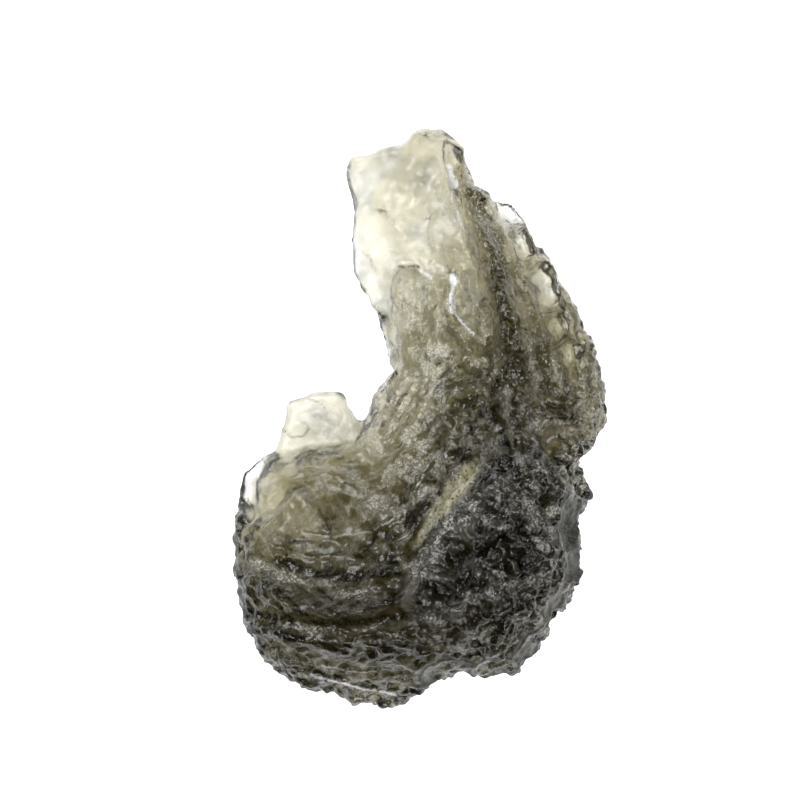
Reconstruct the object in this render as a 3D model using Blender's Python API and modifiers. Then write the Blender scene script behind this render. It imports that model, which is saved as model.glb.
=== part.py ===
"""Raw moldavite: one natural piece of olive glass, lying on its back.

Seen from above it is a hook. A thick pitted body fills the lower end, a spur climbs from it
over a thin clear blade, a ribbed wing runs down the right side, and a small clear tab peeps
out of the bay on the left.

+X is to the right, +Y runs along the stone towards the blade's tip, +Z is up from the table.
Named sizes are millimetres, and MM turns them to the scene's metres.
"""
import bpy
import bmesh
import numpy as np
from mathutils import Vector, noise

MM = 0.001
STONE_NAME = "moldavite"

# Overall
LENGTH = 40.0                # along Y, tip of the blade to the lowest point of the body
FACE_COUNT = 9600            # triangles of the finished stone
SLAB_HALF = 1.5              # half thickness of the slab that each part starts from
SLAB_GRAIN = 0.35            # grid of one slab
STONE_GRAIN = 0.24           # grid of the whole stone, before it is thinned out
THIN_EDGE = 0.22             # share of its thickness that a slab keeps at its edge

# Each part of the stone is a slab with an outline, and with heights of its top and underside
# at a few places (x, y, height). rim is where between the two its edge lies, rim_width is how
# far in from the edge the rounding reaches, and relief lists ribs and grooves on its top as
# (points, half width, height).
PLATE = {
    "outline": [
        (-5.1, 17.5), (-4.6, 18.1), (-3.7, 18.2), (-2.7, 18.6), (-1.5, 18.8), (-0.6, 19.5),
        (0.3, 19.9), (1.2, 20.0), (2.0, 19.6), (2.6, 18.6), (4.0, 15.0), (6.5, 10.0),
        (7.0, 5.0), (5.0, 0.0), (0.5, -3.0), (-1.4, -0.5), (-1.2, 0.9), (-1.5, 2.8),
        (-2.3, 4.6), (-2.6, 6.2), (-3.3, 7.7), (-4.1, 9.1), (-4.7, 10.0), (-4.6, 11.3),
        (-4.8, 12.4), (-4.6, 14.1), (-4.9, 15.6), (-5.2, 16.8),
    ],
    "top": [
        (-4.0, 17.5, 1.4), (1.0, 19.0, 2.6), (-2.5, 13.0, 2.0), (1.5, 13.0, 2.9),
        (-1.5, 8.0, 2.5), (3.4, 8.0, 4.2), (0.0, 3.0, 3.6),
    ],
    "bottom": [
        (-1.8, 17.0, -0.45), (2.0, 18.8, 0.6), (-4.0, 14.0, 0.7), (2.0, 13.0, 1.0),
        (-2.5, 8.0, 0.9), (3.0, 7.0, 0.9), (0.0, 2.0, 1.2),
    ],
    "rim": 0.5,
    "rim_width": 0.6,
    "relief": [
        ([(-3.9, 11.3), (-3.2, 9.8)], 0.35, -0.35),
        ([(-2.8, 9.4), (-2.1, 8.1)], 0.35, -0.35),
        ([(-0.9, 17.0), (-2.6, 14.6), (-1.0, 12.4)], 0.8, 0.3),
        ([(2.2, 11.8), (3.2, 9.4), (3.7, 6.8)], 0.7, 0.5),
    ],
}

WING = {
    "outline": [
        (1.6, 19.6), (2.6, 19.2), (3.2, 18.5), (3.3, 17.0), (4.1, 15.8), (5.1, 14.9),
        (6.5, 14.9), (7.2, 14.0), (7.6, 13.0), (8.1, 11.6), (8.9, 10.9), (9.6, 9.6),
        (10.7, 7.9), (11.1, 6.6), (11.8, 5.3), (12.0, 4.0), (12.6, 2.6), (12.5, 1.6),
        (12.8, -0.1), (12.2, -0.8), (11.6, -2.0), (10.7, -3.2), (9.0, -6.0), (5.0, -6.0),
        (4.4, 0.0), (4.8, 4.0), (4.9, 6.3), (4.4, 9.1), (3.4, 12.2), (2.6, 14.2), (1.8, 16.9),
        (1.3, 18.4),
    ],
    "top": [
        (1.9, 18.0, 4.5), (3.0, 14.2, 5.2), (4.6, 9.6, 7.0), (5.6, 5.6, 7.8), (6.0, 13.6, 4.0),
        (7.4, 9.5, 5.8), (9.4, 5.5, 6.2), (11.0, 1.2, 5.4), (7.4, 2.8, 8.8), (8.4, 0.8, 8.4),
        (9.4, -2.8, 8.4),
    ],
    "bottom": [
        (2.2, 18.0, 1.4), (6.0, 12.5, 1.0), (9.0, 7.0, 0.8), (10.6, 0.9, 0.6),
        (7.0, 0.0, 0.8), (5.0, 8.0, 1.0), (9.6, -4.0, 1.0),
    ],
    "rim": 0.42,
    "rim_width": 0.8,
    "relief": [
        ([(4.1, 14.6), (5.5, 12.4), (6.5, 10.4), (7.4, 7.6), (8.2, 4.6), (8.8, 1.4)], 0.55, -0.9),
        ([(5.9, 13.6), (7.0, 11.3), (8.1, 8.6), (9.2, 6.0), (10.1, 2.8)], 0.5, -0.7),
        ([(3.9, 13.2), (5.2, 10.8), (6.1, 8.3), (6.9, 5.6), (7.6, 2.8)], 0.5, 0.6),
        ([(5.2, 13.9), (6.4, 11.4), (7.4, 8.8), (8.6, 5.6), (9.4, 2.2)], 0.4, 0.6),
        ([(9.0, 0.2), (10.6, 0.9), (12.3, 1.6)], 0.5, 0.8),
        ([(9.2, -1.2), (10.6, -0.9), (12.2, -0.2)], 0.5, -0.7),
        ([(5.8, 14.3), (6.3, 14.0)], 0.8, -1.9),       # windows worn thin, from the tip down
        ([(7.0, 12.1), (7.2, 11.2)], 0.5, -2.0),
        ([(8.5, 9.7), (8.9, 8.5)], 0.65, -3.0),
        ([(9.1, 6.5), (9.2, 6.0)], 0.55, -2.2),
        ([(10.1, 4.5), (10.2, 4.0)], 0.5, -2.2),
    ],
}

BODY = {
    "outline": [
        (-2.0, 2.3), (-2.8, 2.2), (-3.4, 1.3), (-3.9, 0.0), (-4.6, -1.2), (-5.1, -1.5),
        (-6.8, -1.8), (-7.8, -1.8), (-8.7, -2.3), (-9.9, -2.3), (-11.1, -2.5), (-12.0, -3.5),
        (-12.4, -4.9), (-12.7, -7.3), (-12.8, -9.9), (-12.4, -11.3), (-12.4, -12.5),
        (-11.7, -14.2), (-10.9, -16.0), (-10.1, -16.8), (-8.8, -17.7), (-7.4, -18.4),
        (-5.5, -18.6), (-4.5, -19.2), (-2.9, -19.6), (-2.4, -20.0), (-1.2, -19.5),
        (-0.2, -18.7), (1.4, -17.9), (2.5, -17.2), (3.8, -17.6), (4.4, -17.5), (5.1, -17.9),
        (6.6, -17.3), (7.6, -16.2), (8.4, -15.3), (8.9, -14.1), (9.4, -12.9), (10.3, -12.4),
        (10.9, -10.7), (11.1, -10.1), (10.9, -9.2), (10.6, -7.3), (10.7, -6.6), (11.3, -5.9),
        (11.6, -4.8), (11.1, -4.0), (10.7, -3.2), (10.0, -1.0), (8.6, 2.0), (6.5, 4.2),
        (4.6, 5.2), (3.3, 5.6), (0.0, 5.2), (-1.7, 4.0),
    ],
    "top": [
        (-10.6, -5.0, 5.2), (-8.2, -7.6, 7.2), (-6.1, -5.0, 7.2), (-4.1, -4.2, 6.6),
        (-2.7, -1.5, 5.6), (-1.4, 1.2, 5.1), (0.0, -0.8, 6.4), (1.4, 1.2, 6.4),
        (3.1, -3.5, 10.4), (1.4, -5.6, 10.2), (0.0, -7.6, 9.8), (5.5, -4.2, 13.2),
        (6.8, -8.3, 13.3), (4.1, -9.7, 13.7), (2.0, -12.4, 12.3), (6.1, -12.4, 12.0),
        (8.2, -9.7, 12.0), (5.5, 1.6, 8.4), (8.0, 0.4, 8.4), (9.6, -2.9, 9.4),
        (-10.9, -12.4, 7.8), (-8.2, -13.8, 9.2), (-4.8, -13.1, 10.2), (-1.4, -11.7, 10.8),
        (-4.8, -15.8, 9.0), (-1.4, -16.5, 9.0), (-2.5, -18.6, 5.6), (4.1, -15.2, 9.8),
        (6.8, -15.2, 9.4),
    ],
    "bottom": [
        (6.4, -12.2, -0.55), (-6.6, -13.6, -0.55), (-10.9, -12.4, 1.5), (-11.5, -6.0, 2.0),
        (-8.2, -6.0, 1.0), (-3.0, -9.0, 0.9), (2.0, -9.0, 0.8), (7.0, -8.0, 0.9),
        (10.0, -8.0, 2.4), (7.4, -15.6, 1.9), (-0.5, -14.0, 0.8), (0.0, -18.0, 1.6),
        (0.0, 0.0, 1.0), (6.0, 0.0, 0.9),
    ],
    "rim": 0.38,
    "rim_width": 3.2,
    "relief": [
        ([(-12.1, -8.7), (-10.8, -9.8), (-8.2, -11.1), (-4.8, -11.7), (-1.4, -10.7)], 0.5, -0.8),
        ([(-12.3, -12.2), (-10.8, -13.1), (-8.2, -13.8), (-4.8, -13.9), (-0.7, -13.2)], 0.5, -0.8),
        ([(-10.8, -15.2), (-8.2, -16.2), (-4.8, -16.7), (-1.4, -16.9)], 0.5, -0.7),
        ([(-11.8, -10.6), (-8.2, -12.4), (-4.8, -12.8), (-1.2, -12.0)], 0.5, 0.5),
        ([(-11.2, -14.0), (-8.2, -15.1), (-4.8, -15.3), (-1.0, -15.1)], 0.5, 0.5),
        ([(5.0, -3.2), (3.4, -4.9), (2.0, -6.9), (0.9, -8.9), (0.0, -11.2)], 0.7, 0.6),
        ([(3.9, -2.8), (2.4, -4.3), (1.2, -5.9), (0.2, -7.6), (-0.5, -8.9)], 0.45, -1.5),
        ([(-0.4, -8.9), (-1.1, -10.7), (-1.4, -12.4)], 0.6, -0.8),
        ([(6.1, 1.9), (5.9, 0.2), (6.3, -1.8), (7.2, -3.7)], 0.5, 0.7),
        ([(-11.2, -3.0), (-11.7, -4.6), (-11.4, -5.6), (-10.8, -6.4)], 0.6, -1.6),   # windows
        ([(-10.0, -5.8), (-9.1, -4.7)], 0.35, -1.8),
        ([(8.9, -0.9), (9.3, -2.0)], 0.6, -2.2),
    ],
}

SPUR = {
    "outline": [
        (-1.8, 3.3), (-1.4, 4.5), (-1.9, 6.3), (-2.0, 8.1), (-2.0, 9.2), (-1.6, 10.1),
        (-1.2, 10.4), (-0.3, 10.3), (0.0, 9.9), (1.2, 9.8), (2.0, 9.8), (2.6, 9.0), (2.5, 7.7),
        (2.7, 6.8), (3.5, 6.1), (4.4, 5.2), (5.3, 4.5), (5.8, 2.6), (5.5, -0.1), (2.7, -2.2),
        (0.0, -1.5), (-2.4, 0.5), (-2.7, 2.2),
    ],
    "top": [
        (-1.1, 9.6, 4.2), (1.9, 9.2, 4.2), (-1.0, 6.5, 4.6), (1.6, 6.5, 4.7),
        (-0.9, 3.3, 4.9), (3.0, 3.5, 5.9), (4.5, 1.5, 7.0), (0.0, -0.5, 6.2),
    ],
    "bottom": [
        (-0.5, 9.8, 1.6), (2.0, 9.0, 1.8), (-1.2, 7.0, 1.5), (1.6, 6.5, 1.6), (0.0, 3.0, 1.5),
        (4.0, 2.0, 1.5),
    ],
    "rim": 0.45,
    "rim_width": 0.6,
    "relief": [
        ([(0.1, 9.6), (0.0, 7.4), (0.4, 5.4)], 0.5, -0.5),
        ([(1.9, 9.0), (1.8, 7.2), (2.6, 5.8), (3.6, 4.8)], 0.4, 0.5),
    ],
}

TAB = {
    "outline": [
        (-6.8, -4.2), (-9.1, -3.8), (-10.2, -2.9), (-9.8, -2.0), (-9.4, -0.6), (-9.1, 0.0),
        (-9.1, 1.2), (-8.7, 1.4), (-8.0, 1.6), (-7.5, 2.0), (-6.8, 1.9), (-6.1, 2.0),
        (-5.2, 1.9), (-4.7, 1.2), (-4.4, 0.5), (-4.0, -0.1), (-3.5, -2.0), (-4.8, -4.2),
    ],
    "top": [(-7.6, 1.2, 3.3), (-5.4, 1.0, 3.5), (-8.6, -2.4, 3.6), (-4.6, -3.0, 4.2)],
    "bottom": [(-7.6, 1.2, 1.9), (-5.4, 1.0, 2.0), (-8.6, -2.4, 1.9), (-4.6, -3.0, 1.6)],
    "rim": 0.5,
    "rim_width": 0.45,
    "relief": [([(-8.4, 0.2), (-7.0, 0.8), (-5.6, 0.2)], 0.35, -0.3)],
}

LAYERS = {"plate": PLATE, "wing": WING, "body": BODY, "spur": SPUR, "tab": TAB}

# Shell-shaped breaks: balls that the surface is pressed back from, as (x, y, z, radius).
# The worn ones are pitted over, and the fresh ones stay smooth.
WORN_BREAKS = [
    (-8.4, -5.6, 16.4, 10.0),      # wide dish at the upper left of the body
    (6.1, -3.3, 15.6, 2.4),        # dark hollows on the dome
    (5.9, -8.8, 15.9, 2.6),
    (2.1, 18.6, 6.4, 2.9),         # dimple at the tip
    (7.0, -6.0, -6.0, 7.6),        # worn hollows of the underside
    (-8.4, -7.4, -6.4, 8.2),
    (1.0, 2.5, -6.4, 8.0),
    (0.4, -15.0, -5.6, 6.8),
]
FRESH_BREAKS = [
    (12.4, -7.3, 9.6, 3.1),        # chips along the right rim, from the top down
    (13.2, -10.6, 9.0, 3.6),
    (11.8, -13.4, 8.6, 3.4),
    (9.6, -17.0, 7.6, 3.2),
    (5.6, -19.6, 7.0, 3.4),
    (2.2, -19.4, 8.4, 3.0),
]

# Natural wear over the whole stone
LUMP_SIZE = 3.6              # wide waves of the surface
LUMP_HEIGHT = 0.35
PIT_SIZE = 2.1               # spacing of the pits
PIT_DEPTH = 0.75
PIT_REACH = 0.55             # how far a pit reaches towards the next, of their spacing
RIB_SIZE = 1.3               # short sharp ribs between the pits
RIB_HEIGHT = 0.14
LEAST_WEAR = 0.15
UNDERSIDE_TILT = -0.35       # a surface whose normal dips more than this is underside
UNDERSIDE_WEAR = 0.35
SMALLEST_DISTANCE = 0.001    # keeps divisions safe

# How strongly the surface is pitted at a few places (x, y, share)
WEAR = [
    (-2.0, 17.0, 0.1), (1.0, 10.0, 0.1), (-7.0, 1.0, 0.1), (-10.0, -5.0, 0.3),
    (-7.0, -9.0, 0.35), (-7.0, -15.0, 0.5), (-1.0, -13.0, 0.6), (-1.0, -5.0, 0.5),
    (0.0, 1.0, 0.8), (0.0, 7.0, 0.6), (4.0, 2.0, 0.8), (3.5, -6.0, 1.0), (6.0, -10.0, 1.0),
    (8.0, -4.0, 1.0), (6.0, -15.0, 0.7), (8.0, 2.0, 0.7), (7.0, 9.0, 0.45), (3.0, 16.0, 0.4),
]

GLASS_COLOUR = (0.19, 0.19, 0.11, 1.0)
GLASS_ROUGHNESS = 0.12
GLASS_IOR = 1.49


def clear_scene():
    """Remove whatever the scene holds."""
    for old in list(bpy.data.objects):
        bpy.data.objects.remove(old, do_unlink=True)


def make_collection(name):
    """Add a collection to the scene."""
    collection = bpy.data.collections.new(name)
    bpy.context.scene.collection.children.link(collection)
    return collection


def glass_material():
    """Olive tektite glass."""
    material = bpy.data.materials.new("moldavite_glass")
    material.use_nodes = True
    shader = material.node_tree.nodes["Principled BSDF"]
    shader.inputs["Base Color"].default_value = GLASS_COLOUR
    shader.inputs["Roughness"].default_value = GLASS_ROUGHNESS
    shader.inputs["IOR"].default_value = GLASS_IOR
    shader.inputs["Transmission Weight"].default_value = 0.6
    return material


def read_points(mesh):
    """Vertex positions in millimetres."""
    flat = np.empty(len(mesh.vertices) * 3)
    mesh.vertices.foreach_get("co", flat)
    return flat.reshape(-1, 3) / MM


def write_points(mesh, points):
    """Set vertex positions from millimetres."""
    mesh.vertices.foreach_set("co", (points * MM).ravel())
    mesh.update()


def read_normals(mesh):
    """Vertex normals."""
    flat = np.empty(len(mesh.vertices) * 3)
    mesh.vertex_normals.foreach_get("vector", flat)
    return flat.reshape(-1, 3)


def distance_to_path(places, path, closed):
    """Shortest distance in plan from each place to a path of straight runs."""
    path = np.array(path)
    ends = np.roll(path, -1, axis=0)
    count = len(path) if closed else len(path) - 1
    shortest = np.full(len(places), np.inf)
    for start, end in zip(path[:count], ends[:count]):
        run = end - start
        along = ((places - start) @ run) / max(run @ run, SMALLEST_DISTANCE)
        nearest = start + np.clip(along, 0.0, 1.0)[:, None] * run
        shortest = np.minimum(shortest, np.linalg.norm(places - nearest, axis=1))
    return shortest


def height_at(places, controls):
    """A smooth surface through the control heights, read at each place."""
    controls = np.array(controls)
    spots = controls[:, :2]
    heights = controls[:, 2]
    middle = heights.mean()
    between = np.linalg.norm(spots[:, None, :] - spots[None, :, :], axis=2)
    weights = np.linalg.solve(np.sqrt(between ** 2 + 1.0), heights - middle)
    reach = np.linalg.norm(places[:, None, :] - spots[None, :, :], axis=2)
    return middle + np.sqrt(reach ** 2 + 1.0) @ weights


def relief_at(places, strokes):
    """Ribs and grooves: each is a smooth swell along its path."""
    total = np.zeros(len(places))
    for path, half_width, height in strokes:
        away = distance_to_path(places, path, closed=False)
        total += height * np.exp(-(away / half_width) ** 2)
    return total


def outline_curve(name, outline, collection):
    """A flat outline, filled and given the slab's thickness."""
    data = bpy.data.curves.new(name + "_outline", "CURVE")
    data.dimensions = "2D"
    data.fill_mode = "BOTH"
    data.extrude = SLAB_HALF * MM
    spline = data.splines.new("POLY")
    spline.points.add(len(outline) - 1)
    for point, (x, y) in zip(spline.points, outline):
        point.co = (x * MM, y * MM, 0.0, 1.0)
    spline.use_cyclic_u = True
    curve = bpy.data.objects.new(name + "_outline", data)
    collection.objects.link(curve)
    return curve


def evaluated_mesh(source):
    """The mesh of an object with its modifiers applied."""
    graph = bpy.context.evaluated_depsgraph_get()
    return bpy.data.meshes.new_from_object(source.evaluated_get(graph))


def weld(mesh):
    """Join the loose caps of a curve's mesh to its sides."""
    work = bmesh.new()
    work.from_mesh(mesh)
    bmesh.ops.remove_doubles(work, verts=work.verts, dist=0.00001)
    bmesh.ops.recalc_face_normals(work, faces=work.faces)
    work.to_mesh(mesh)
    work.free()


def remesh(item, grain):
    """Rebuild an object's surface on an even grid, which also fuses shapes that overlap."""
    modifier = item.modifiers.new("grid", "REMESH")
    modifier.mode = "VOXEL"
    modifier.voxel_size = grain * MM
    mesh = evaluated_mesh(item)
    item.modifiers.remove(modifier)
    item.data = mesh


def shape_slab(mesh, layer):
    """Lift a flat slab to the heights of one part of the stone."""
    points = read_points(mesh)
    places = points[:, :2]
    level = np.clip(points[:, 2] / SLAB_HALF, -1.0, 1.0)
    top = height_at(places, layer["top"]) + relief_at(places, layer["relief"])
    bottom = height_at(places, layer["bottom"])
    middle = bottom + layer["rim"] * (top - bottom)
    inward = distance_to_path(places, layer["outline"], closed=True) / layer["rim_width"]
    round_off = np.sqrt(1.0 - (1.0 - np.clip(inward, 0.0, 1.0)) ** 2)
    fullness = THIN_EDGE + (1.0 - THIN_EDGE) * round_off
    above = middle + (top - middle) * fullness * level
    below = middle + (middle - bottom) * fullness * level
    points[:, 2] = np.where(level > 0.0, above, below)
    write_points(mesh, points)


def make_layer(name, layer, collection):
    """One part of the stone, before the parts are fused."""
    curve = outline_curve(name, layer["outline"], collection)
    mesh = evaluated_mesh(curve)
    weld(mesh)
    slab = bpy.data.objects.new(name, mesh)
    slab.matrix_world = curve.matrix_world
    collection.objects.link(slab)
    bpy.data.objects.remove(curve, do_unlink=True)
    remesh(slab, SLAB_GRAIN)
    shape_slab(slab.data, layer)
    return slab


def fuse(slabs, collection):
    """Join the parts in one mesh and rebuild it as one closed skin."""
    work = bmesh.new()
    for slab in slabs:
        work.from_mesh(slab.data)
    mesh = bpy.data.meshes.new(STONE_NAME)
    work.to_mesh(mesh)
    work.free()
    for slab in slabs:
        bpy.data.objects.remove(slab, do_unlink=True)
    stone = bpy.data.objects.new(STONE_NAME, mesh)
    collection.objects.link(stone)
    remesh(stone, STONE_GRAIN)
    return stone


def press_breaks(points, breaks):
    """Press the surface out of every ball in a list of breaks."""
    for x, y, z, radius in breaks:
        centre = np.array((x, y, z))
        away = points - centre
        distance = np.maximum(np.linalg.norm(away, axis=1), SMALLEST_DISTANCE)
        inside = distance < radius
        points[inside] = centre + away[inside] * (radius / distance[inside])[:, None]


def pit_depth(point):
    """Bowl-shaped pits around scattered centres, 0 between them and 1 at their bottom."""
    distances, _ = noise.voronoi(Vector(point) / PIT_SIZE)
    return max(0.0, 1.0 - (distances[0] / PIT_REACH) ** 2)


def wear_at(point):
    """Height that weather gave the surface at a point."""
    place = Vector(point)
    lump = noise.fractal(place / LUMP_SIZE, 1.0, 2.0, 2) * LUMP_HEIGHT
    rib = (1.0 - abs(noise.noise(place / RIB_SIZE)) * 3.0) * RIB_HEIGHT
    return lump + rib - pit_depth(point) * PIT_DEPTH


def weather(points, normals):
    """Move the surface along its normals by the wear."""
    wear = np.array([wear_at(point) for point in points])
    strength = np.clip(height_at(points[:, :2], WEAR), LEAST_WEAR, 1.0)
    facing_up = normals[:, 2] > UNDERSIDE_TILT
    strength = np.where(facing_up, strength, np.minimum(strength, UNDERSIDE_WEAR))
    points += normals * (wear * strength)[:, None]


def thin_out(stone):
    """Bring the stone down to its number of triangles."""
    modifier = stone.modifiers.new("thin", "DECIMATE")
    faces = sum(len(face.vertices) - 2 for face in stone.data.polygons)
    modifier.ratio = FACE_COUNT / faces
    mesh = evaluated_mesh(stone)
    stone.modifiers.remove(modifier)
    stone.data = mesh


def settle(points):
    """Centre the stone over the origin, at its length, and grind its three feet flat."""
    low = points.min(axis=0)
    high = points.max(axis=0)
    points[:, :2] -= (low[:2] + high[:2]) / 2.0
    points *= LENGTH / (high[1] - low[1])
    points[:, 2] = np.maximum(points[:, 2], 0.0)


def make_moldavite(collection):
    """The whole stone."""
    slabs = [make_layer(name, layer, collection) for name, layer in LAYERS.items()]
    stone = fuse(slabs, collection)
    points = read_points(stone.data)
    press_breaks(points, WORN_BREAKS)
    write_points(stone.data, points)
    weather(points, read_normals(stone.data))
    press_breaks(points, FRESH_BREAKS)
    write_points(stone.data, points)
    thin_out(stone)
    points = read_points(stone.data)
    settle(points)
    write_points(stone.data, points)
    stone.data.materials.append(glass_material())
    stone.data.name = STONE_NAME
    return stone


clear_scene()
make_moldavite(make_collection("moldavite_stone"))
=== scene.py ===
import bpy
import numpy as np
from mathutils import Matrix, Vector, noise
from mathutils.bvhtree import BVHTree


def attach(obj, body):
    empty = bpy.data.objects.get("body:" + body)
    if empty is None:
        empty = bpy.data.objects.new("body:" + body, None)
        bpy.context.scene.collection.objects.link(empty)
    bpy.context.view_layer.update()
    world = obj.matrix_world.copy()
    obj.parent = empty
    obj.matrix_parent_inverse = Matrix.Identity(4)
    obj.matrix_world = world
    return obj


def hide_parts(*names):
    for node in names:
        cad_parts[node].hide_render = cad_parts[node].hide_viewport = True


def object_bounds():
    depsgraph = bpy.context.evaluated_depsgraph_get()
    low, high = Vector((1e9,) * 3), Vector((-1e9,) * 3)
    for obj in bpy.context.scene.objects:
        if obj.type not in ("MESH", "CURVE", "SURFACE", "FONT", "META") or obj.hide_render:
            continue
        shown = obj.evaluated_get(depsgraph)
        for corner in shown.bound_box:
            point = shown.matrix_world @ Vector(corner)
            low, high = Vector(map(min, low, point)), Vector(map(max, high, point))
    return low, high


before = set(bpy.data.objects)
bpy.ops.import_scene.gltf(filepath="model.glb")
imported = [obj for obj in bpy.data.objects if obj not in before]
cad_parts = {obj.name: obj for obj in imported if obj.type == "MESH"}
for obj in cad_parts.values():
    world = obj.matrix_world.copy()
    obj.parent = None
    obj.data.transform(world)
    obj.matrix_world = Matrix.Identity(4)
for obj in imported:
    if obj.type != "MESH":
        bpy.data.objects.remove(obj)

# Raw moldavite on a pale light table, seen from straight above.
# Sizes are millimetres in the dictionaries, and mm turns them to the scene's metres.
mm = 0.001
cadLow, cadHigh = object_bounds()
noise.seed_set(7)              # noise_vector starts from the clock without a seed


def linearFromHex(code):
    # "#rrggbb" as sRGB, to the linear numbers that the shader wants
    parts = [int(code[i:i + 2], 16) / 255 for i in (1, 3, 5)]
    return [p / 12.92 if p <= 0.04045 else ((p + 0.055) / 1.055) ** 2.4 for p in parts] + [1.0]


def addNode(tree, kind, settings):
    # a setting is one of the node's own options, or an input's value, or what feeds an input:
    # another node's output, or the node itself for its first output
    node = tree.nodes.new(kind)
    for key, value in settings.items():
        source = value.outputs[0] if isinstance(value, bpy.types.Node) else value
        if isinstance(key, str) and hasattr(node, key):
            setattr(node, key, value)
        elif isinstance(source, bpy.types.NodeSocket):
            tree.links.new(source, node.inputs[key])
        else:
            node.inputs[key].default_value = value
    return node


# The stone's surface
stone = {
    "gridMm": 0.17,            # between points, which keeps it under 200,000 triangles
    "smoothPasses": 6,         # takes the solid's facets away
    "cellMm": 1.3,             # etched cells on the dome
    "cellDepth": 0.42,
    "pitMm": 0.72,             # small pits inside and between the cells
    "pitDepth": 0.26,
    "pitLeast": 0.04,          # share of them on bare glass
    "pitShift": 7.3,           # moves them off the cells' centres
    "farPitMm": 1.6,           # wide shallow pits of the underside, seen through the glass
    "farPitDepth": 0.22,
    "farPitShift": 3.1,
    "bowlReach": 0.6,          # radius of a cell or pit, as a share of its spacing
    "ribMm": 0.9,              # sharp ribs
    "ribHeight": 0.14,
    "ribLeast": 0.15,
    "ribSharp": 3.0,
    "grainMm": 0.36,
    "grainHeight": 0.08,
    "grainLeast": 0.3,
    "streakMm": 0.42,          # width of the flow lines
    "streakLength": 5.0,
    "streakHeight": 0.12,
    "lumpMm": 0.95,            # small lumps, each with its own tone
    "lumpHeight": 0.16,
    "lumpBend": 0.25,          # how far their outlines bend, as a share of their size
    "seamWidth": 0.25,         # and how wide the seams between them are
    "leastEtch": 0.05,
    "farEtch": 0.15,           # etching of the underside, at least
    "farWild": 0.6,            # and how much of the upper side's it has besides
    "windowDepth": 0.3,
    "windowSmooth": 0.8,       # share of the relief that windows lack
    "chipSmooth": 0.6,         # and that chips lack
    "thinMm": 2.5,             # glass thinner than this is etched less
    "thinLeast": 0.25,
    "probeMm": 6.0,            # glass is measured down to this depth
    "evenPasses": 14,          # how far the skin is evened out to find its hollows
    "hollowMm": 0.16,          # a hollow this deep gets the most painted shade
    "strokeWander": 0.16,      # strokes wander this far from their paths, in mm
    "strokeVary": 0.6,         # and vary this much in width
    "strokeNoiseMm": 0.9,
}

# How strongly the surface is etched at a few places in plan (x, y, share)
etchMap = [
    (-2.0, 17.0, 0.1), (1.0, 12.0, 0.1), (-3.0, 10.0, 0.15), (-7.0, 1.0, 0.1),
    (-10.0, -5.0, 0.1), (-7.0, -7.0, 0.12), (-7.0, -12.0, 0.25), (-7.0, -15.5, 0.35),
    (-12.3, -10.0, 0.5), (-10.8, -14.2, 0.6), (-7.5, -17.2, 0.6), (-2.0, -19.0, 0.6),
    (-1.0, -13.0, 0.5), (-1.5, -5.0, 0.3), (-2.0, 0.0, 0.3), (0.0, 3.0, 0.4), (0.0, 8.0, 0.3),
    (4.0, 2.0, 0.8), (3.5, -6.0, 1.0), (6.0, -10.0, 1.0), (8.0, -4.0, 1.0), (6.0, -14.0, 0.9),
    (8.0, 2.0, 0.7), (9.0, 7.0, 0.5), (6.5, 11.0, 0.5), (3.0, 16.0, 0.4),
]

# How much of the skin the silvery frost covers at a few places in plan (x, y, share)
frostMap = [
    (-2.0, 17.0, 0.04), (-1.0, 12.0, 0.06), (3.0, 12.0, 0.1), (-7.0, 1.0, 0.1),
    (-11.0, -5.0, 0.2), (-8.0, -7.0, 0.16), (-3.0, -6.0, 0.3), (-3.0, -2.0, 0.5),
    (-1.0, 2.0, 0.75), (0.0, 7.0, 0.55), (3.0, 0.0, 0.3), (-7.0, -12.0, 0.12),
    (-3.0, -12.5, 0.15), (-6.0, -15.5, 0.25), (-2.0, -17.5, 0.35), (4.0, -7.0, 0.35),
    (6.0, -10.0, 0.35), (8.0, -4.0, 0.4), (6.0, -14.0, 0.35), (8.0, 2.0, 0.3),
    (9.5, 7.0, 0.35), (5.5, 7.0, 0.15), (6.5, 12.5, 0.3),
]

# Where painted shade darkens the glass between the frost (x, y, share)
shadeMap = [
    (-2.0, 17.0, 0.0), (2.6, 18.0, 0.35), (3.0, 8.0, 0.25), (-7.0, 1.0, 0.2), (-11.0, -5.0, 0.0),
    (-7.0, -7.0, 0.75), (-2.0, -5.0, 0.5), (0.0, 1.0, 0.05), (0.0, 7.0, 0.0), (-10.0, -11.5, 0.9),
    (-6.0, -12.8, 1.0), (-2.0, -13.5, 1.0), (-7.0, -16.5, 0.9), (-2.0, -17.6, 0.9),
    (4.6, -1.2, 1.0), (3.4, -1.0, 0.9), (-7.0, -9.6, 0.75),
    (3.0, -9.0, 1.0), (5.5, -3.0, 1.0), (6.5, -8.5, 1.0), (5.0, -14.5, 1.0), (9.0, -3.5, 0.8),
    (4.2, 2.2, 0.7), (7.5, 2.0, 0.55), (5.6, 5.0, 0.75), (6.5, 9.5, 0.45), (10.0, 5.0, 0.2),
]

# Flow lines of the glass run along these paths (in plan), strongest near them
flowPaths = [
    {"path": [(-12.4, -9.0), (-10.8, -12.6), (-8.2, -15.0), (-4.8, -16.4), (-0.5, -16.0)],
     "reach": 7.0, "share": 1.0},
    {"path": [(4.1, 14.9), (6.5, 11.0), (8.4, 7.0), (9.6, 2.0)], "reach": 3.5, "share": 0.9},
    {"path": [(-1.0, 9.6), (-1.0, 6.0), (-0.6, 2.6), (-2.6, -1.0)], "reach": 2.6, "share": 0.8},
]

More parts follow.
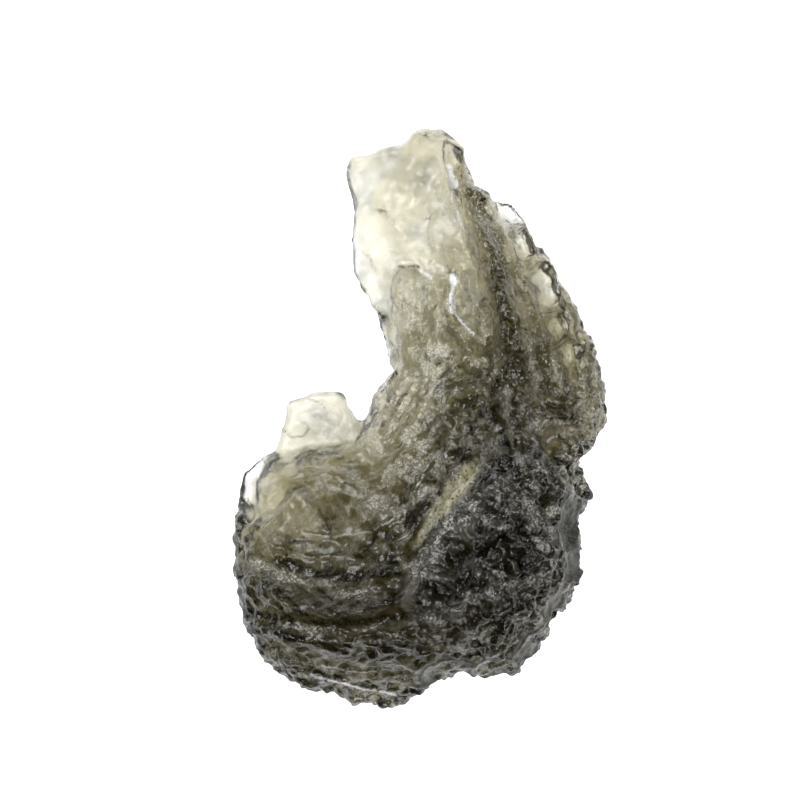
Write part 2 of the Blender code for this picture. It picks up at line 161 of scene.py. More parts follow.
# Fine creases and crests of the upper side: path in plan, half width and height in mm
creases = [
    {"path": [(2.2, 9.6), (2.15, 8.05), (2.3, 7.1), (3.4, 6.0), (4.4, 5.2)], "half": 0.3, "height": 0.12},
    {"path": [(1.4, 17.9), (2.0, 16.4), (2.3, 14.8), (3.1, 12.7), (4.1, 10.1), (4.6, 6.7)],
     "half": 0.2, "height": 0.14},
    {"path": [(0.4, 14.9), (0.6, 13.8)], "half": 0.3, "height": -0.16},         # a burst bubble
    {"path": [(-8.2, -7.8), (-6.1, -8.1), (-3.4, -7.7), (-1.4, -6.6)], "half": 0.16, "height": 0.16},
    {"path": [(-10.4, -8.6), (-7.4, -9.5), (-4.2, -9.3), (-1.8, -8.4)], "half": 0.16, "height": 0.14},
    {"path": [(-9.6, -4.4), (-7.6, -3.6), (-5.6, -3.9), (-4.0, -5.2)], "half": 0.18, "height": 0.16},
    {"path": [(-10.6, -6.5), (-9.7, -5.3), (-9.0, -4.5), (-6.9, -4.3)], "half": 0.16, "height": 0.18},
    {"path": [(-7.5, -17.5), (-6.1, -17.9), (-4.1, -18.4), (-1.7, -18.9)], "half": 0.25, "height": 0.12},
    {"path": [(6.1, 1.9), (5.9, 0.2), (6.3, -1.8), (7.2, -3.7)], "half": 0.25, "height": 0.25},
]

# Strokes over the upper side, each a path in plan, half its width in mm and its share.
# These are painted highlights: white put on bare facets where they catch the light
shineStrokes = [
    ([(2.17, 9.6), (2.3, 9.1), (2.15, 8.05), (2.25, 7.2)], 0.21, 1.0),
    ([(2.25, 7.2), (2.8, 6.55), (3.4, 6.0), (4.4, 5.2)], 0.11, 0.95),
    ([(1.95, 17.3), (2.2, 16.4), (2.4, 15.9)], 0.24, 0.7),
    ([(1.43, 17.9), (1.98, 16.4), (2.3, 14.8), (2.66, 13.8), (3.1, 12.7)], 0.06, 0.8),
    ([(0.0, 10.1), (0.4, 9.8), (0.8, 9.55)], 0.14, 0.9),
    ([(-7.5, -17.4), (-6.1, -17.9), (-4.1, -18.4), (-1.7, -18.9)], 0.1, 0.9),
    ([(-6.8, -16.7), (-4.9, -17.2), (-3.0, -17.3)], 0.07, 0.6),
    ([(-8.2, -7.8), (-6.1, -8.1), (-3.4, -7.7), (-1.4, -6.6)], 0.06, 0.45),
    ([(0.5, -3.2), (-0.2, -4.6)], 0.06, 0.6),
]
# Painted light: a warm straw-coloured glow put on the slopes where light comes out of the thick glass
strawStrokes = [
    ([(4.0, -2.9), (3.2, -3.6)], 0.5, 0.5), ([(3.4, -3.4), (2.2, -5.0)], 0.6, 1.0),
    ([(2.2, -5.0), (0.9, -6.8)], 0.5, 1.0), ([(0.9, -6.8), (-0.3, -8.5)], 0.32, 0.9),
    ([(6.0, 1.8), (5.8, 0.2), (6.2, -1.8), (7.0, -3.6)], 0.2, 0.4),
    ([(-1.2, -9.8), (-0.6, -11.2), (-0.9, -12.6)], 0.4, 0.25),
]
# Pits and patches lined with silvery frost
frostStrokes = [
    ([(3.5, -5.7), (2.0, -7.4), (0.4, -9.2), (-0.1, -10.4)], 0.75, 0.7),
    ([(5.2, -5.3), (7.2, -5.7)], 0.7, 0.5), ([(4.2, -1.8), (5.6, -2.3)], 0.4, 0.3),
    ([(7.4, 0.5), (8.5, -1.1)], 0.3, 0.6), ([(0.4, -13.3), (0.5, -13.2)], 0.6, 0.6),
    ([(2.7, -12.8), (3.4, -11.8)], 0.5, 0.6), ([(4.8, -11.5), (5.2, -11.4)], 0.5, 0.6),
    ([(6.6, -12.0), (8.2, -10.4)], 0.4, 0.35),
    ([(-11.3, -9.8), (-10.0, -10.5), (-7.6, -11.1), (-5.9, -11.4)], 0.35, 0.6),
    ([(-5.9, -11.7), (-4.1, -12.0), (-2.3, -11.9)], 0.35, 0.6),
    ([(-8.3, -14.1), (-7.3, -14.4)], 0.35, 0.6), ([(-2.9, -14.4), (-1.6, -14.9)], 0.5, 0.5),
    ([(-3.4, -5.4), (-2.3, -5.9)], 0.5, 0.6), ([(-4.2, -7.7), (-3.6, -7.9)], 0.4, 0.5),
    ([(-6.9, -4.4), (-6.0, -4.6)], 0.4, 0.4), ([(-4.6, 1.0), (-3.6, -1.2)], 0.3, 0.5),
    ([(-2.2, 2.0), (-2.6, 0.0)], 0.35, 0.5), ([(1.0, 0.0), (1.3, -0.6)], 0.4, 0.5),
]
# Deep creases and hollows, where painted shade makes the glass darkest
shadeStrokes = [
    ([(-11.5, -8.9), (-10.1, -9.9), (-8.8, -10.5)], 0.3, 0.8),
    ([(-9.8, -9.6), (-6.5, -10.8), (-4.1, -10.7), (-1.6, -10.3)], 0.5, 1.0),
    ([(-11.1, -13.3), (-8.5, -13.9), (-5.9, -13.9), (-3.4, -13.7), (-1.2, -13.3)], 0.4, 1.0),
    ([(-11.1, -15.1), (-9.2, -14.7), (-7.3, -15.2), (-4.1, -16.0), (1.2, -15.8)], 0.45, 1.0),
    ([(5.0, -3.0), (7.0, -3.5), (6.5, -4.0)], 0.6, 1.0),
    ([(1.9, -9.4), (3.9, -9.0), (6.2, -8.7)], 0.55, 1.0),
    ([(2.8, -10.9), (0.9, -11.9)], 0.5, 0.9), ([(2.2, -14.3), (4.7, -13.3), (6.8, -12.7)], 0.4, 0.9),
    ([(4.4, 2.3), (6.2, 2.4), (6.6, 1.2)], 0.5, 0.8), ([(3.4, -3.4), (5.4, -6.8)], 0.4, 0.6),
    ([(1.9, 19.0), (2.2, 17.9)], 0.55, 0.55), ([(-1.6, 15.9), (-0.4, 16.6)], 0.6, 0.25),
    ([(-2.2, 13.9), (-1.5, 13.2)], 0.3, 0.25), ([(1.3, 17.2), (1.6, 15.9)], 0.35, 0.3),
    ([(-4.0, 11.4), (-3.4, 11.0), (-3.1, 10.2)], 0.14, 0.5), ([(1.0, 11.8), (2.6, 11.5)], 0.35, 0.45),
    ([(0.5, 13.6), (0.6, 11.9), (0.9, 10.6)], 0.1, 0.4),
    ([(0.15, 13.8), (0.45, 13.6), (0.7, 13.8)], 0.07, 0.8),
    ([(-9.0, 1.1), (-8.0, 1.5), (-6.6, 0.8), (-6.4, 0.3)], 0.08, 0.7),
    ([(-9.5, -0.8), (-8.8, -1.3), (-7.9, -1.25), (-7.65, -0.7), (-8.0, -0.3)], 0.08, 0.75),
    ([(0.1, 14.5), (0.25, 14.9)], 0.07, 0.5), ([(-1.4, 10.35), (-0.15, 10.35)], 0.11, 1.0),
    ([(-3.3, 7.6), (-2.2, 6.8)], 0.2, 0.7), ([(-2.3, 5.7), (-1.6, 4.0)], 0.15, 0.7),
    ([(3.6, 15.6), (4.6, 13.4), (5.1, 11.0), (5.4, 8.8), (6.0, 6.0), (6.6, 3.0)], 0.8, 0.95),
    ([(7.0, 10.2), (7.7, 8.0), (8.3, 5.6), (8.8, 3.4)], 0.25, 0.5),
    ([(7.9, 12.2), (9.7, 8.8), (11.2, 5.6), (12.0, 3.0)], 0.3, 0.45),
    ([(9.2, 1.2), (10.6, 1.9), (12.2, 2.2)], 0.15, 0.6),
    ([(9.2, -1.6), (11.0, -1.3), (12.3, -0.5)], 0.2, 0.6),
]
# Windows, where the glass is thin and its skin is bare
clearStrokes = [
    ([(5.8, 14.3), (6.3, 14.0)], 0.8, 1.0), ([(6.9, 12.3), (7.2, 11.3)], 0.45, 0.9),
    ([(8.3, 9.9), (8.7, 9.2), (8.9, 8.3)], 0.85, 1.0), ([(9.2, 6.7), (9.4, 6.0)], 0.45, 0.8),
    ([(10.1, 4.6), (10.2, 4.0)], 0.4, 0.8), ([(9.0, -1.0), (9.2, -1.9)], 0.4, 0.6),
    ([(-11.0, -3.4), (-10.4, -3.9)], 0.6, 1.0), ([(-11.6, -4.8), (-11.5, -5.5), (-10.9, -6.2)], 0.5, 1.0),
    ([(-10.4, -6.3), (-9.7, -5.3)], 0.25, 0.8),
    ([(-5.3, 16.6), (-4.9, 14.5), (-4.9, 12.6), (-4.4, 10.6), (-3.0, 8.4)], 0.5, 1.0),
    ([(-3.6, 16.3), (-1.2, 17.2), (0.8, 18.3)], 1.5, 0.9),
]

# Fresh shell-shaped chips down the right rim: ball centre and radius, as the CAD stone has them
chips = [
    (12.4, -7.3, 9.6, 3.1), (13.2, -10.6, 9.0, 3.6), (11.8, -13.4, 8.6, 3.4),
    (9.6, -17.0, 7.6, 3.2), (5.6, -19.6, 7.0, 3.4), (2.2, -19.4, 8.4, 3.0),
]


def share(values, none, full):
    # 0 at none, 1 at full, and even between
    return np.clip((values - none) / (full - none), 0.0, 1.0)


def atLeast(least, values):
    return least + (1.0 - least) * values


def distanceToPath(places, path):
    path = np.array(path)
    shortest = np.full(len(places), np.inf)
    for start, end in zip(path[:-1], path[1:]):
        run = end - start
        along = np.clip(((places - start) @ run) / (run @ run), 0.0, 1.0)
        shortest = np.minimum(shortest, np.linalg.norm(places - start - along[:, None] * run, axis=1))
    return shortest


def blendMap(places, controls):
    # smooth surface through a few control values
    controls = np.array(controls)
    spots, values = controls[:, :2], controls[:, 2]
    middle = values.mean()
    between = np.linalg.norm(spots[:, None] - spots[None], axis=2)
    weights = np.linalg.solve(np.sqrt(between ** 2 + 1.0), values - middle)
    reach = np.linalg.norm(places[:, None] - spots[None], axis=2)
    return middle + np.sqrt(reach ** 2 + 1.0) @ weights


def bowls(points, size):
    # round pits about scattered centres: 1 at a pit's bottom, 0 at its rim
    nearest = np.array([noise.voronoi(Vector(p) / size)[0][0] for p in points])
    return np.maximum(0.0, 1.0 - (nearest / stone["bowlReach"]) ** 2)


def ridges(points, size):
    # sharp crests, 1 on the crest
    return np.array([1.0 - abs(noise.noise(Vector(p) / size)) * stone["ribSharp"] for p in points])


def grain(points, size):
    return np.array([noise.noise(Vector(p) / size) for p in points])


def lumps(points, size):
    # small cells: 1 on the seams between them, and a chance tone for each
    seam = np.empty(len(points))
    tone = np.empty(len(points))
    for i, point in enumerate(points):
        spot = Vector(point) / size
        near, centres = noise.voronoi(spot + noise.noise_vector(spot * 1.7) * stone["lumpBend"])
        seam[i] = 1.0 - (near[1] - near[0]) / stone["seamWidth"]
        tone[i] = noise.cell(centres[0] * 37.0)     # far enough apart for each to differ
    return np.clip(seam, 0.0, 1.0), (tone - tone.min()) / np.ptp(tone)


def drawnOut(points, away):
    # coordinates in which a noise is drawn out along lines of equal distance from a path
    across = away / stone["streakMm"]
    along = points / stone["streakLength"]
    return np.stack((across, along[:, 0], along[:, 1] + along[:, 2]), axis=1)


def streaks(spots):
    # two layers of noise, the second twice as fine
    return np.array([noise.fractal(Vector(p), 1.0, 2.0, 2) for p in spots])


def flowLines(points, places):
    # the flow lines' height, their share, and the coordinates that draw a noise out along them
    height = np.zeros(len(points))
    flow = np.zeros(len(points))
    drawn = drawnOut(points, np.zeros(len(points)))
    for stroke in flowPaths:
        away = distanceToPath(places, stroke["path"])
        near = share(away / stroke["reach"], 1.4, 0.4) * stroke["share"]
        spots = drawnOut(points, away)
        height += streaks(spots) * stone["streakHeight"] * near
        drawn = np.where((near > flow)[:, None], spots, drawn)
        flow = np.maximum(flow, near)
    return height, flow, drawn


def strokeMask(places, strokes, soft=1.0):
    # strongest of a list of strokes, each with a soft side
    size = stone["strokeNoiseMm"]
    wander = np.array([noise.noise_vector(Vector((x, y, 0.0)) / size) for x, y in places])
    width = 1.0 + stone["strokeVary"] * wander[:, 2]
    places = places + wander[:, :2] * stone["strokeWander"]
    total = np.zeros(len(places))
    for path, half, strength in strokes:
        away = distanceToPath(places, path) / (half * width)
        total = np.maximum(total, share(away, 1.0 + soft / 2, 1.0 - soft / 2) * strength)
    return total


def chipMask(points):
    # 1 on the faces that the chips left, which lie on their balls
    total = np.zeros(len(points))
    for x, y, z, radius in chips:
        off = np.abs(np.linalg.norm(points - np.array((x, y, z)), axis=1) - radius)
        total = np.maximum(total, share(off, 0.288, 0.108))
    return total


def hollows(mesh, points, normals):
    # how far each point lies below the evened-out skin, in mm
    flat = np.empty(len(mesh.edges) * 2, dtype=np.int32)
    mesh.edges.foreach_get("vertices", flat)
    first, second = flat.reshape(-1, 2).T
    count = np.bincount(first, minlength=len(points)) + np.bincount(second, minlength=len(points))
    even = points.copy()
    for _ in range(stone["evenPasses"]):
        total = np.zeros_like(even)
        for axis in range(3):
            total[:, axis] = (np.bincount(first, even[second, axis], len(points))
                              + np.bincount(second, even[first, axis], len(points)))
        even = (even + total / count[:, None]) / 2
    return ((even - points) * normals).sum(axis=1)


def depthBelow(mesh, points, normals):
    # thickness of the glass under each point, straight in, in mm
    tree = BVHTree.FromPolygons(points.tolist(), [tuple(face.vertices) for face in mesh.polygons])
    depth = np.full(len(points), stone["probeMm"])
    for i, (point, normal) in enumerate(zip(points, normals)):
        inward = Vector(-normal)
        start = Vector(point) + inward * 0.02       # just inside the skin
        distance = tree.ray_cast(start, inward, stone["probeMm"])[3]
        if distance is not None:
            depth[i] = distance
    return depth


def evenSkin(node):
    # copy of the CAD stone, rebuilt on an even grid and smoothed
    skin = bpy.data.objects.new("moldaviteSkin", node.data.copy())
    bpy.context.scene.collection.objects.link(skin)
    grid = skin.modifiers.new("grid", "REMESH")
    grid.mode = "VOXEL"
    grid.voxel_size = stone["gridMm"] * mm
    smooth = skin.modifiers.new("smooth", "SMOOTH")
    smooth.factor = 0.5
    smooth.iterations = stone["smoothPasses"]
    graph = bpy.context.evaluated_depsgraph_get()
    mesh = bpy.data.meshes.new_from_object(skin.evaluated_get(graph))
    bpy.data.objects.remove(skin)
    return mesh


def readVectors(items, name):
    flat = np.empty(len(items) * 3)
    items.foreach_get(name, flat)
    return flat.reshape(-1, 3)


def etchStone(mesh):
    # wears the relief into the mesh, and returns what the looks depend on
    points = readVectors(mesh.vertices, "co") / mm
    normals = readVectors(mesh.vertex_normals, "vector")
    places = points[:, :2]
    topSide = share(normals[:, 2], -0.3, 0.2)
    underSide = 1.0 - topSide
    wild = np.clip(blendMap(places, etchMap), stone["leastEtch"], 1.0)
    window = strokeMask(places, clearStrokes)
    clear = window * topSide
    etch = wild * topSide * (1.0 - stone["windowSmooth"] * clear)
    etch += (stone["farEtch"] + stone["farWild"] * wild) * underSide
    chip = chipMask(points) * topSide
    depth = depthBelow(mesh, points, normals)
    seam, tone = lumps(points, stone["lumpMm"])
    flowHeight, flow, drawn = flowLines(points, places)

    relief = -bowls(points, stone["cellMm"]) * stone["cellDepth"] * etch
    pits = bowls(points + stone["pitShift"], stone["pitMm"])
    relief -= pits * stone["pitDepth"] * atLeast(stone["pitLeast"], etch)
    farPits = bowls(points + stone["farPitShift"], stone["farPitMm"])
    relief -= farPits * stone["farPitDepth"] * underSide
    relief += ridges(points, stone["ribMm"]) * stone["ribHeight"] * atLeast(stone["ribLeast"], etch)
    relief += grain(points, stone["grainMm"]) * stone["grainHeight"] * atLeast(stone["grainLeast"], etch)
    relief += (0.5 - seam) * stone["lumpHeight"] * etch
    relief += flowHeight * topSide
    relief *= np.clip(depth / stone["thinMm"], stone["thinLeast"], 1.0)
    relief *= (1.0 - stone["chipSmooth"] * chip) * (1.0 - stone["windowSmooth"] * window)
    for crease in creases:
        away = distanceToPath(places, crease["path"]) / crease["half"]
        relief += crease["height"] * np.exp(-away ** 2) * topSide
    relief -= clear * stone["windowDepth"]

    points = points + normals * relief[:, None]
    inBox = np.clip(points, np.array(cadLow) / mm, np.array(cadHigh) / mm)
    mesh.vertices.foreach_set("co", (inBox * mm).ravel())
    return {"places": points[:, :2], "up": normals[:, 2], "topSide": topSide, "wild": wild,
            "window": window, "clear": clear, "etch": etch, "chip": chip, "depth": depth, "seam": seam,
            "tone": tone, "flow": flow, "drawn": drawn,
            "sunk": hollows(mesh, points, normals) / stone["hollowMm"]}


# Frost, painted highlights and painted shade on the skin
crust = {
    "rimHighlight": 0.5,           # painted highlight on the clear parts' thin rims
    "chipEdgeHighlight": 0.12,          # painted highlight on the sharp edges of the chips
    "farFrost": 0.2,           # and on the underside
    "creaseBare": 0.85,        # share of the frost that deep creases lack
    "linedLow": 0.4,           # the frost that lines a pit varies from lump to lump
    "linedVary": 0.8,
    "darkHigh": 1.3,           # and so does the painted shade, the other way
    "darkVary": 0.6,
    "sideMm": 4.0,             # painted shade on a steep side is darkest over glass this deep
    "sideLeast": 0.15,
    "sideMost": 0.85,
}


def storeLooks(mesh, skin):
    # shares from 0 to 1 at each point, which the glass is mixed from
    places, topSide, clear, etch, chip, tone = (
        skin[name] for name in ("places", "topSide", "clear", "etch", "chip", "tone"))
    steep = np.abs(skin["up"])
    bare = topSide * (1.0 - clear)
    crease = strokeMask(places, shadeStrokes) * bare
    lined = strokeMask(places, frostStrokes) * bare
    frost = np.clip(blendMap(places, frostMap), 0.05, 1.0) * bare
    frost *= (1.0 - chip) * (1.0 - crust["creaseBare"] * crease)
    rim = share(steep, 0.39, 0.09) * np.clip(1.1 - 1.5 * skin["wild"], 0.0, 1.0)
    chipEdgeHighlight = 4.0 * chip * (1.0 - chip)            # 1 halfway across the chip's border
    shine = strokeMask(places, shineStrokes, 0.5) * topSide
    shine = np.maximum(shine, crust["chipEdgeHighlight"] * chipEdgeHighlight)
    # painted shade on the steep sides
    side = share(steep, 0.45, 0.0)
    sideShade = side * np.clip(skin["depth"] / crust["sideMm"], crust["sideLeast"], crust["sideMost"])
    # painted shade by region, less on paler lumps, and the dark seams between the lumps
    shade = np.clip(blendMap(places, shadeMap), 0.0, 1.0) * (crust["darkHigh"] - crust["darkVary"] * tone)
    shade = np.maximum(shade, skin["seam"] * np.clip(etch - 0.1, 0.0, 1.0))
    looks = {
        "etch": etch,
        "flow": skin["flow"] * topSide,
        "tone": tone,
        "frost": frost + crust["farFrost"] * (1.0 - topSide) * (1.0 - skin["window"]),
        "lined": lined * (crust["linedLow"] + crust["linedVary"] * tone),
        "shine": np.maximum(shine, crust["rimHighlight"] * rim),
        "ledgeLight": strokeMask(places, strawStrokes, 0.8) * topSide,
        "chip": chip,
        # painted shade in the hollows
        "hollow": np.clip(skin["sunk"], 0.0, 1.0) * (1.0 - clear) * atLeast(0.3, etch),
        "crest": np.clip(-skin["sunk"], 0.0, 1.0),
        "crease": crease,
        "side": side,
        "shade": np.maximum(np.clip(shade, 0.0, 1.0) * bare, sideShade),
    }
    for name, values in looks.items():
        mesh.attributes.new(name, "FLOAT", "POINT").data.foreach_set("value", values)
    mesh.attributes.new("drawn", "FLOAT_VECTOR", "POINT").data.foreach_set("vector", skin["drawn"].ravel())
    mesh.update()
    return list(looks)


# Tektite glass, natural: poured by a meteorite's blast, then etched in the ground.
# Clear olive where thin, near black where thick. The etched skin has a frost of fine specks,
# thickest in the pits and along the flow lines, tinted silver as painted glints where the glass is
# shaded. Painted highlights, painted light on the ledge and painted shade in creases and hollows
# are mixed into its colour, and the grey over the fresh chips is a painted sheen.
glass = {
    "ior": 1.49,               # moldavite is 1.48 to 1.50
    "absorbed": "#d3cfb8",     # what is left of white light on a short way through
    "density": 815.0,          # absorption per metre
    "smoothRoughness": 0.3,
    "etchedRoughness": 0.15,
    "chipRoughness": 0.55,
    "specular": 0.15,          # the fine etching scatters part of the gloss
    "grainMm": 0.19,           # etch grain is about 0.02 mm; drawn coarser so that it shows
    "speckMm": 0.13,           # frost crystals, drawn coarser so that they show
    "patchMm": 0.9,            # patches of frost, as wide as the pits
    "cloudMm": 2.6,            # soft clouds in the clear blade
    "flowGrain": 2.2,          # grains and patches to the width of a flow line
    "flowPatch": 0.9,
    "bumpMm": 0.06,            # depth of the grain
    "frostColour": "#ded6b6",
    # white of the painted highlights
    "glintTintColour": "#e4e4e6",
    # painted glints: the frost's bluish-white tint where the glass is shaded
    "shineColour": "#ffffff",
    # colour of the painted light on the ledge
    "strawColour": "#b0aa8a",
    # painted sheen: grey over the fresh chips' faces, for the soft boxes' sheen on them
    "chipSheenColour": "#464848",
    # colour of the painted shade in the hollows, in the grain's low spots and in the chips' pits
    "hollowShadeColour": "#6f6c5a",
    # colour of the painted shade
    "shadeColour": "#191812",
    "cloudColour": "#d4d7dd",
    "toneShare": 0.25,         # how much a lump's tone moves the frost's patches
    "frostGain": 1.2,
    "frostSmooth": 0.35,       # frost between the crystals
    "crestHighlight": 0.3,         # painted highlight on the crests, as pale frost
    "lineFrost": 0.6,          # and on the flow lines
    "etchDark": 0.4,           # dark grain outside the hollows
    "grooveDark": 0.8,         # painted shade in the low spots of the grain, outside the hollows
    "regionShade": 0.78,         # painted shade over the shaded regions, outside the gaps in the frost
    "frostOpacity": 0.85,      # share of the light that the frost keeps from passing
    "strawOpacity": 0.85,
    # how much of the painted sheen's grey covers the chips
    "chipOpacity": 0.7,
}

# Noises that are turned to shares: which noise, where it gives none and all, and its mask
bands = {
    "cloud": ("cloud", 0.5, 0.68, None),
    "crystal": ("crystal", 0.5, 0.8, None),
    "patch": ("toned", 0.6, 0.69, None),
    "gap": ("toned", 0.61, 0.52, None),
    "line": ("drawnFine", 0.52, 0.6, "flow"),
    "groove": ("drawnFine", 0.52, 0.42, "flow"),
    # painted highlight grain on the shine strokes, brightest on the grain's crests
    "worn": ("fine", 0.3, 0.42, "shine"),
    "ledgeLight": ("fine", 0.26, 0.44, "ledgeLight"),
    "dark": ("fine", 0.5, 0.38, None),
    "crease": ("fine", 0.68, 0.52, "crease"),
    "chipPit": ("fine", 0.5, 0.4, "chip"),
}


def strongest(tree, *parts):
    # the largest of several shares, each given with its strength
    total = None
    for mask, strength in parts:
        part = addNode(tree, "ShaderNodeMath", {"operation": "MULTIPLY", 0: mask, 1: strength})
        if total is not None:
            part = addNode(tree, "ShaderNodeMath", {"operation": "MAXIMUM", 0: total, 1: part})
        total = part
    return total


def addNoises(tree, masks):
    # the noises that the bands use, some in the stone's own space and some along the flow lines
    place = addNode(tree, "ShaderNodeTexCoord", {}).outputs["Object"]
    drawn = addNode(tree, "ShaderNodeAttribute", {"attribute_name": "drawn"}).outputs["Vector"]
    kinds = {
        "fine": (place, 1 / (glass["grainMm"] * mm), 2.0),
        "wide": (place, 1 / (glass["patchMm"] * mm), 3.0),
        "cloud": (place, 1 / (glass["cloudMm"] * mm), 3.0),
        "drawnFine": (drawn, glass["flowGrain"], 3.0),
        "drawnWide": (drawn, glass["flowPatch"], 2.0),
    }
    noises = {}
    for name, (source, scale, detail) in kinds.items():
        noises[name] = addNode(tree, "ShaderNodeTexNoise", {
            "Vector": source, "Scale": scale, "Detail": detail,
        })
    crystals = addNode(tree, "ShaderNodeTexVoronoi", {
        "Vector": place, "Scale": 1 / (glass["speckMm"] * mm),
    })
    noises["crystal"] = addNode(tree, "ShaderNodeSeparateColor", {"Color": crystals.outputs["Color"]})
    patchy = addNode(tree, "ShaderNodeMix", {
        0: masks["flow"], 2: noises["wide"], 3: noises["drawnWide"],
    })
    noises["toned"] = addNode(tree, "ShaderNodeMath", {
        "operation": "MULTIPLY_ADD", 0: masks["tone"], 1: glass["toneShare"], 2: patchy,
    })
    return noises


def tektiteGlass(maskNames):
    material = bpy.data.materials.new("olive tektite glass, etched")
    material.use_nodes = True
    tree = material.node_tree
    tree.nodes.clear()
    masks = {name: addNode(tree, "ShaderNodeAttribute", {"attribute_name": name}).outputs["Fac"]
             for name in maskNames}
    noises = addNoises(tree, masks)
    spots = {}
    for name, (source, none, full, mask) in bands.items():
        spots[name] = addNode(tree, "ShaderNodeMapRange", {
            "Value": noises[source], "From Min": none, "From Max": full,
        })
        if mask:
            spots[name] = strongest(tree, (masks[mask], spots[name]))

    spread = strongest(tree, (spots["patch"], 1.0), (masks["crest"], glass["crestHighlight"]),
                       (spots["line"], glass["lineFrost"]))
    gain = strongest(tree, (masks["frost"], glass["frostGain"]))
    cover = strongest(tree, (spread, gain), (masks["lined"], 1.0))
    sparkle = addNode(tree, "ShaderNodeMapRange", {"Value": spots["crystal"], "To Min": glass["frostSmooth"]})
    frost = strongest(tree, (sparkle, cover))
    # painted shade in the hollows and in the low spots of the fine grain
    darkest = strongest(tree, (masks["hollow"], 1.0), (masks["etch"], glass["etchDark"]))
    dark = strongest(tree, (spots["dark"], darkest))
    gaps = strongest(tree, (spots["gap"], 1.0), (spots["groove"], glass["grooveDark"]))
    low = strongest(tree, (gaps, 1.0), (masks["hollow"], 1.0))
    wild = addNode(tree, "ShaderNodeMapRange", {"Value": masks["etch"], "From Max": 0.85})
    # painted shade: by region, in hollows, in creases and in the grain's low spots, with dark gaps in the
    # frost
    shade = strongest(tree, (masks["shade"], glass["regionShade"]), (low, masks["shade"]), (gaps, wild),
                      (spots["crease"], 1.0))

    colour = linearFromHex("#ffffff")
    for mask, name in (
        (spots["cloud"], "cloudColour"), (dark, "hollowShadeColour"), (shade, "shadeColour"),
        (masks["chip"], "chipSheenColour"), (spots["chipPit"], "hollowShadeColour"),
        (spots["ledgeLight"], "strawColour"), (frost, "frostColour"),
        # painted glints: frost in shaded glass is tinted bluish white
        (strongest(tree, (frost, masks["shade"])), "glintTintColour"), (spots["worn"], "shineColour"),
    ):
        colour = addNode(tree, "ShaderNodeMix", {
            "data_type": "RGBA", 0: mask, 6: colour, 7: linearFromHex(glass[name]),
        }).outputs[2]
    opaque = strongest(tree, (frost, glass["frostOpacity"]), (spots["worn"], glass["frostOpacity"]),
                       (spots["ledgeLight"], glass["strawOpacity"]), (masks["chip"], glass["chipOpacity"]))
    clear = addNode(tree, "ShaderNodeMath", {"operation": "SUBTRACT", 0: 1.0, 1: opaque})
    rough = addNode(tree, "ShaderNodeMapRange", {
        "Value": strongest(tree, (masks["etch"], noises["wide"])), "From Min": 0.02, "From Max": 0.6,
        "To Min": glass["smoothRoughness"], "To Max": glass["etchedRoughness"],
    })
    rough = strongest(tree, (rough, 1.0), (masks["chip"], glass["chipRoughness"]))
    bumpShare = addNode(tree, "ShaderNodeMapRange", {
        "Value": strongest(tree, (masks["etch"], 1.0), (masks["side"], 1.0)), "To Min": 0.15,
    })
    height = addNode(tree, "ShaderNodeMath", {
        "operation": "MULTIPLY_ADD", 0: noises["drawnFine"], 1: 0.5, 2: noises["fine"],
    })
    bump = addNode(tree, "ShaderNodeBump", {
        "Height": height, "Strength": bumpShare, "Distance": glass["bumpMm"] * mm,
    })
    shader = addNode(tree, "ShaderNodeBsdfPrincipled", {
        "IOR": glass["ior"], "Specular IOR Level": glass["specular"], "Base Color": colour,
        "Transmission Weight": clear, "Roughness": rough, "Normal": bump,
    })
    inside = addNode(tree, "ShaderNodeVolumeAbsorption", {
        "Color": linearFromHex(glass["absorbed"]), "Density": glass["density"],
    })
    addNode(tree, "ShaderNodeOutputMaterial", {"Surface": shader, "Volume": inside})
    return material


def makeStone():
    mesh = evenSkin(bpy.data.objects["moldavite"])
    print("stone: even skin,", len(mesh.vertices), "points")
    maskNames = storeLooks(mesh, etchStone(mesh))
    print("stone: etched")
    mesh.name = "moldaviteGlass"
    mesh.materials.clear()
    mesh.materials.append(tektiteGlass(maskNames))
    mesh.shade_smooth()
    piece = bpy.data.objects.new("moldaviteGlass", mesh)
    bpy.context.scene.collection.objects.link(piece)
    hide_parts("moldavite")
    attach(piece, "root")


# The table, the light and the camera
studio = {
    "floorSize": 1.2,          # metres
    "floorDropMm": 0.02,       # just under the stone's feet
    "floorColour": "#f4f4f2",
    "floorRoughness": 0.9,
    "floorSpecular": 0.1,
    "floorGlow": 0.92,         # a light table: it shines through the thin glass
    "edgeGlow": 0.6,           # its glow far from the stone
    "glowInner": 0.034,        # metres from the middle where the glow starts to fall
    "glowOuter": 0.075,
    "worldColour": "#404244",
    "bounces": 16,             # light crosses many etched faces on its way through
    "glossyBounces": 8,
    "lens": 300.0,
    "sensor": 36.0,
    "frameMm": 54.6,           # what the picture's side covers at the stone
    "focusMm": 5.0,            # height of the stone's outline
    "aimMm": (-1.37, 1.23),    # the picture's middle, beside the stone's
}

# Soft boxes above the table, which draw the glints on the etched skin
lamps = {
    "keyBox": {"place": (-0.22, 0.28, 0.50), "size": 0.28, "watts": 2.0, "colour": "#f8faff"},
    "fillBox": {"place": (0.34, 0.10, 0.42), "size": 0.24, "watts": 1.1, "colour": "#ffffff"},
    "topBox": {"place": (0.05, -0.20, 0.60), "size": 0.24, "watts": 1.1, "colour": "#f8faff"},
}


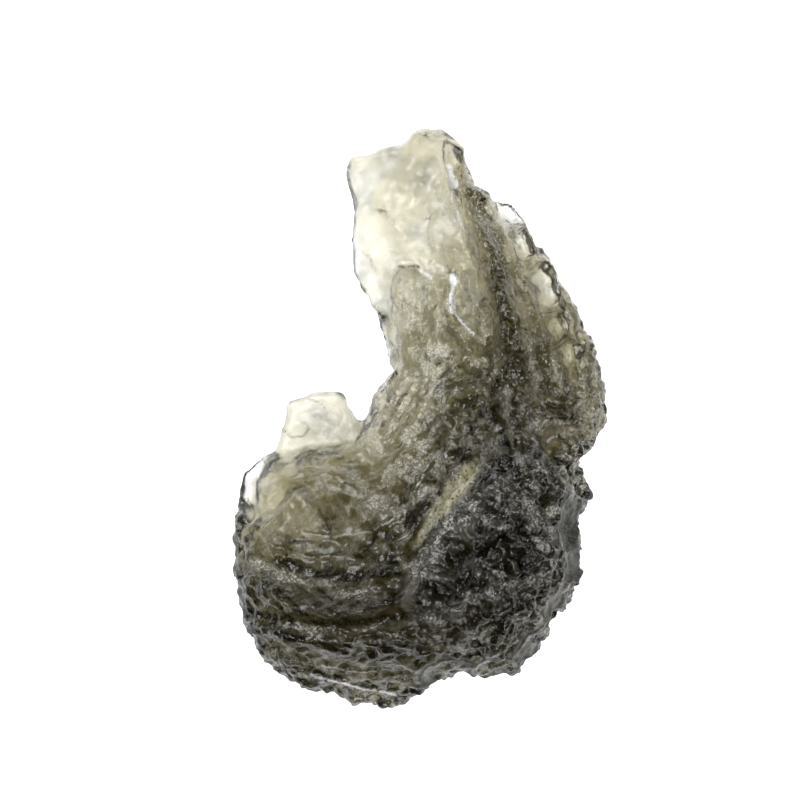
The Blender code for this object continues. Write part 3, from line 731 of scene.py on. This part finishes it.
def opalTable():
    # opal acrylic, cast and lit from behind: an even pale glow without gloss
    material = bpy.data.materials.new("opal light table")
    material.use_nodes = True
    tree = material.node_tree
    tree.nodes.clear()
    place = addNode(tree, "ShaderNodeTexCoord", {}).outputs["Object"]
    away = addNode(tree, "ShaderNodeVectorMath", {"operation": "LENGTH", 0: place})
    glow = addNode(tree, "ShaderNodeMapRange", {
        "interpolation_type": "SMOOTHSTEP", "Value": away.outputs["Value"],
        "From Min": studio["glowInner"], "From Max": studio["glowOuter"],
        "To Min": studio["floorGlow"], "To Max": studio["edgeGlow"],
    })
    shader = addNode(tree, "ShaderNodeBsdfPrincipled", {
        "Base Color": linearFromHex(studio["floorColour"]), "Roughness": studio["floorRoughness"],
        "Specular IOR Level": studio["floorSpecular"], "Emission Color": linearFromHex("#ffffff"),
        "Emission Strength": glow,
    })
    addNode(tree, "ShaderNodeOutputMaterial", {"Surface": shader})
    return material


def makeStudio():
    scene = bpy.context.scene
    floorPlace = (0, 0, -studio["floorDropMm"] * mm)
    bpy.ops.mesh.primitive_plane_add(size=studio["floorSize"], location=floorPlace)
    floor = bpy.context.object
    floor.name = "paleTable"
    floor.data.materials.append(opalTable())
    world = bpy.data.worlds.new("dimStudio")
    world.use_nodes = True
    world.node_tree.nodes["Background"].inputs["Color"].default_value = linearFromHex(studio["worldColour"])
    scene.world = world
    for name, spot in lamps.items():
        lamp = bpy.data.lights.new(name, "AREA")
        lamp.shape = "SQUARE"
        lamp.size = spot["size"]
        lamp.energy = spot["watts"]
        lamp.color = linearFromHex(spot["colour"])[:3]
        box = bpy.data.objects.new(name, lamp)
        box.location = spot["place"]
        box.rotation_euler = Vector(spot["place"]).to_track_quat("Z", "Y").to_euler()
        scene.collection.objects.link(box)
    scene.view_settings.view_transform = "Standard"
    scene.view_settings.look = "Medium High Contrast"
    scene.cycles.transmission_bounces = studio["bounces"]
    scene.cycles.max_bounces = studio["bounces"]
    scene.cycles.glossy_bounces = studio["glossyBounces"]


def makeCamera():
    camera = bpy.data.cameras.new("camera")
    camera.lens = studio["lens"]
    camera.sensor_width = studio["sensor"]
    camera.clip_start = 0.01
    height = studio["frameMm"] * studio["lens"] / studio["sensor"] + studio["focusMm"]
    x, y = studio["aimMm"]
    holder = bpy.data.objects.new("camera", camera)
    holder.location = (x * mm, y * mm, height * mm)
    bpy.context.scene.collection.objects.link(holder)
    bpy.context.scene.camera = holder


makeStudio()
makeCamera()
print("studio ready")
makeStone()
print("stone ready")
